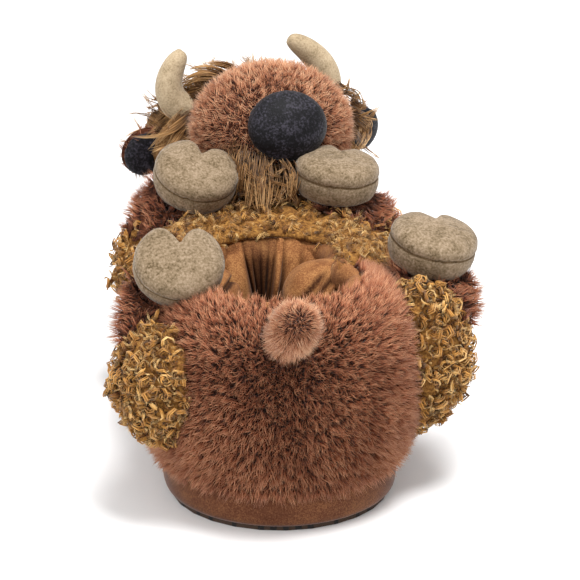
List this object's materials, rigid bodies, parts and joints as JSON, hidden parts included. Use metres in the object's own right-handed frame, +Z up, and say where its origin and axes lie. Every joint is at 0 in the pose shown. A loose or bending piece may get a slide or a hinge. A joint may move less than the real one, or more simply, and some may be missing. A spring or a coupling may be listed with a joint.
{
  "type": "animal slipper",
  "caption": "Plush slipper in the form of a highland cow on its back: padded hollow upper with an oval collar, soft sole, horned head over the toe, raised legs with cloven hooves, and a tail.",
  "frame": {"origin": "on the floor, under the middle of the sole's length and width", "axes": "+Y from heel to toe, +Z up, +X to the right of the foot"},
  "size_m": [0.1793, 0.3641, 0.1644],
  "materials": {
    "brown_fur": "short reddish brown plush fur with lighter tips, matt",
    "muzzle_fur": "short light brown plush fur, matt",
    "golden_wool": "golden brown curly pile in loose ringlets, matt",
    "shaggy_hair": "long olive brown shaggy pile in locks, soft sheen",
    "khaki_velour": "short khaki velour over padding, matt",
    "black_velour": "crushed blue-black velour, soft sheen",
    "brown_velour": "tan brown velour with a soft nap",
    "dark_grip_cloth": "dark cloth sole with small rubber grip dots, matt"
  },
  "bodies": {
    "root": {"outsole": "dark_grip_cloth", "midsole": "brown_velour", "insole": "brown_velour", "upper": "brown_fur", "chest_wool": "golden_wool", "muzzle": "muzzle_fur", "nose": "black_velour", "horn_left": "khaki_velour", "horn_right": "khaki_velour", "ear_left": "brown_fur", "ear_right": "brown_fur", "ear_lining_left": "black_velour", "ear_lining_right": "black_velour", "head_hair": "shaggy_hair", "thigh_front_left": "golden_wool", "shank_front_left": "brown_fur", "hoof_front_left": "khaki_velour", "thigh_front_right": "golden_wool", "shank_front_right": "brown_fur", "hoof_front_right": "khaki_velour", "thigh_rear_left": "golden_wool", "shank_rear_left": "brown_fur", "hoof_rear_left": "khaki_velour", "thigh_rear_right": "golden_wool", "shank_rear_right": "brown_fur", "hoof_rear_right": "khaki_velour", "beard": "shaggy_hair", "tail": "brown_fur"}
  },
  "joints": []
}
